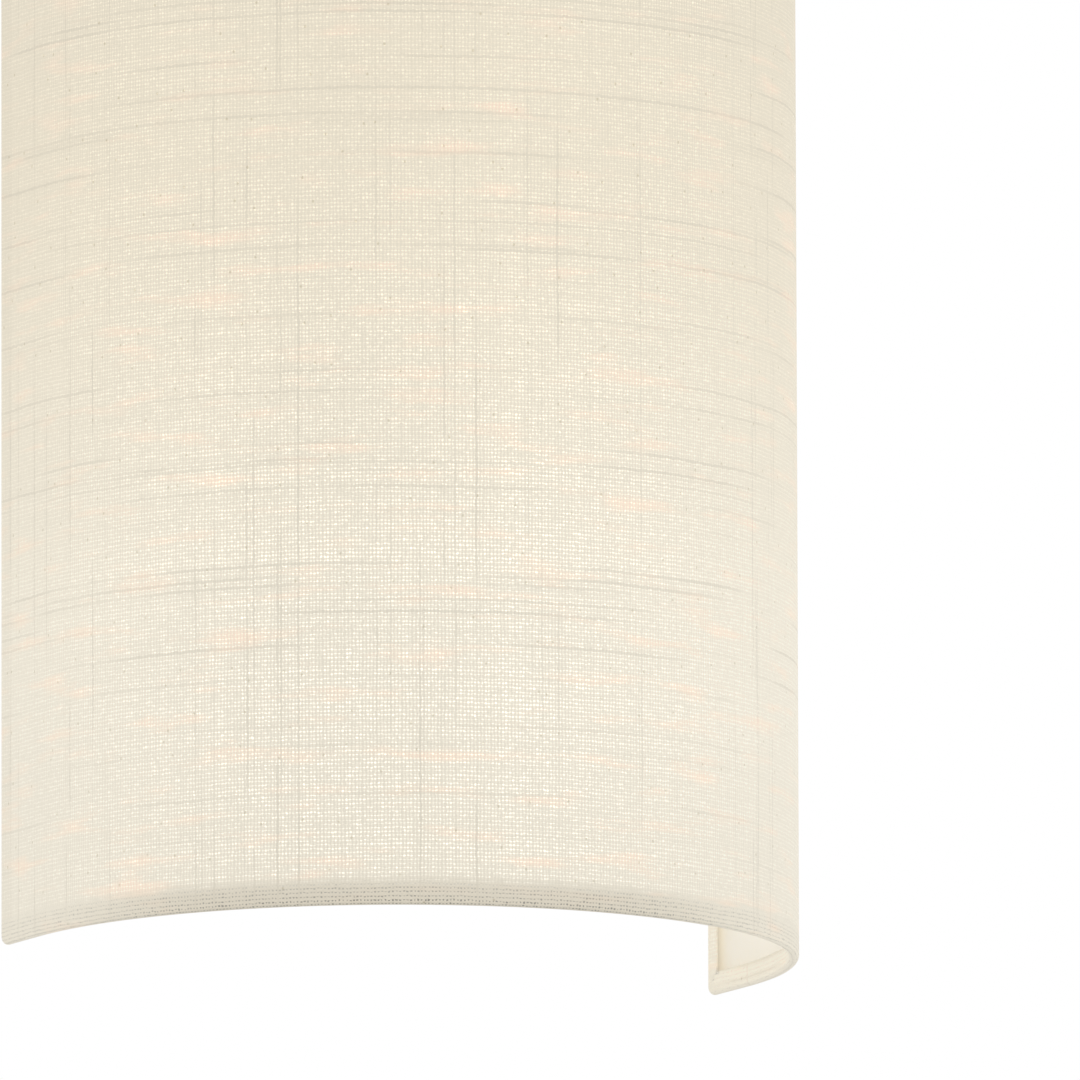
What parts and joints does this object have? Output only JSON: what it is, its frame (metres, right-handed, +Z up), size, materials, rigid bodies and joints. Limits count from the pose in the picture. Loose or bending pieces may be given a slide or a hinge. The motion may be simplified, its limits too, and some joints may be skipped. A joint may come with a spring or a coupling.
{
  "type": "wall light",
  "caption": "Half-round fabric shade on a wire frame, hung by hooks on a steel wall tray with a downward lampholder and screw-in lamp.",
  "frame": {"origin": "on the wall plane, midway between the two fixing slots of the mounting strap", "axes": "+Y into the wall, so the light stands out towards -Y; X along the wall; +Z up"},
  "size_m": [0.2, 0.12, 0.3],
  "materials": {
    "linen": "slubby open plain-weave linen, off-white",
    "liner": "smooth translucent backing sheet",
    "wire": "galvanised wire",
    "solder": "tinned",
    "lamp_cap": "rolled thread, satin",
    "insulator": "black insulating plastic",
    "lamp_housing": "fine satin moulding",
    "opal": "opal diffuser, frosted",
    "board": "white-coated board",
    "zinc_steel": "zinc plated",
    "canopy_paint": "off-white powder coat, fine texture",
    "screw_steel": "zinc plated, turned",
    "rivet": "formed head, satin",
    "zinc_thread": "zinc plated, threaded",
    "holder_plastic": "moulded heat-proof plastic",
    "porcelain": "glazed core",
    "brass": "pressed, satin",
    "block_plastic": "moulded, translucent white",
    "brown_lead": "brown sleeve",
    "blue_lead": "blue sleeve",
    "earth_lead": "green and yellow sleeve",
    "grommet": "soft black bush",
    "tag": "tinned copper"
  },
  "bodies": {
    "wall_unit": {"wall_strap": "zinc_steel", "canopy": "canopy_paint", "canopy_screws": "screw_steel", "hook_upper_left": "zinc_steel", "hook_upper_right": "zinc_steel", "hook_lower_left": "zinc_steel", "hook_lower_right": "zinc_steel", "hook_rivets": "rivet", "lamp_arm": "canopy_paint", "arm_rivets": "rivet", "nipple": "zinc_thread", "nipple_nut": "screw_steel", "nipple_washer": "screw_steel", "holder_cap": "holder_plastic", "holder_skirt": "holder_plastic", "holder_core": "porcelain", "holder_shell": "brass", "holder_contact": "brass", "holder_terminals": "brass", "terminal_block": "block_plastic", "terminal_screws": "screw_steel", "block_screw": "screw_steel", "live_lead": "brown_lead", "neutral_lead": "blue_lead", "earth_lead": "earth_lead", "lead_grommet": "grommet", "earth_stud": "screw_steel", "earth_nut": "screw_steel", "earth_tag": "tag"},
    "shade": {"linen_cover": "linen", "styrene_liner": "liner", "bottom_wire": "wire", "top_wire": "wire", "left_upright": "wire", "right_upright": "wire", "upper_cross_wire": "wire", "lower_cross_wire": "wire"},
    "bulb_pin": {"bulb_contact": "solder"},
    "bulb": {"bulb_cap": "lamp_cap", "bulb_insulator": "insulator", "bulb_housing": "lamp_housing", "bulb_globe": "opal", "bulb_board": "board"}
  },
  "joints": [
    {"name": "shade_lift", "type": "slide", "parent": "wall_unit", "child": "shade", "axis": [0, 0, 1], "range_m": [0, 0.01]},
    {"name": "bulb_travel", "type": "slide", "parent": "wall_unit", "child": "bulb_pin", "axis": [0, 0, 1], "range_m": [-0.01629, 0]},
    {"name": "bulb_turn", "type": "hinge", "parent": "bulb_pin", "child": "bulb", "pos_m": [0, -0.06, 0], "axis": [0, 0, 1], "range_deg": [-1620, 0]}
  ],
  "couplings": [
    {"joint": "bulb_travel", "follows": "bulb_turn", "m_per_rad": 0.00057614}
  ]
}
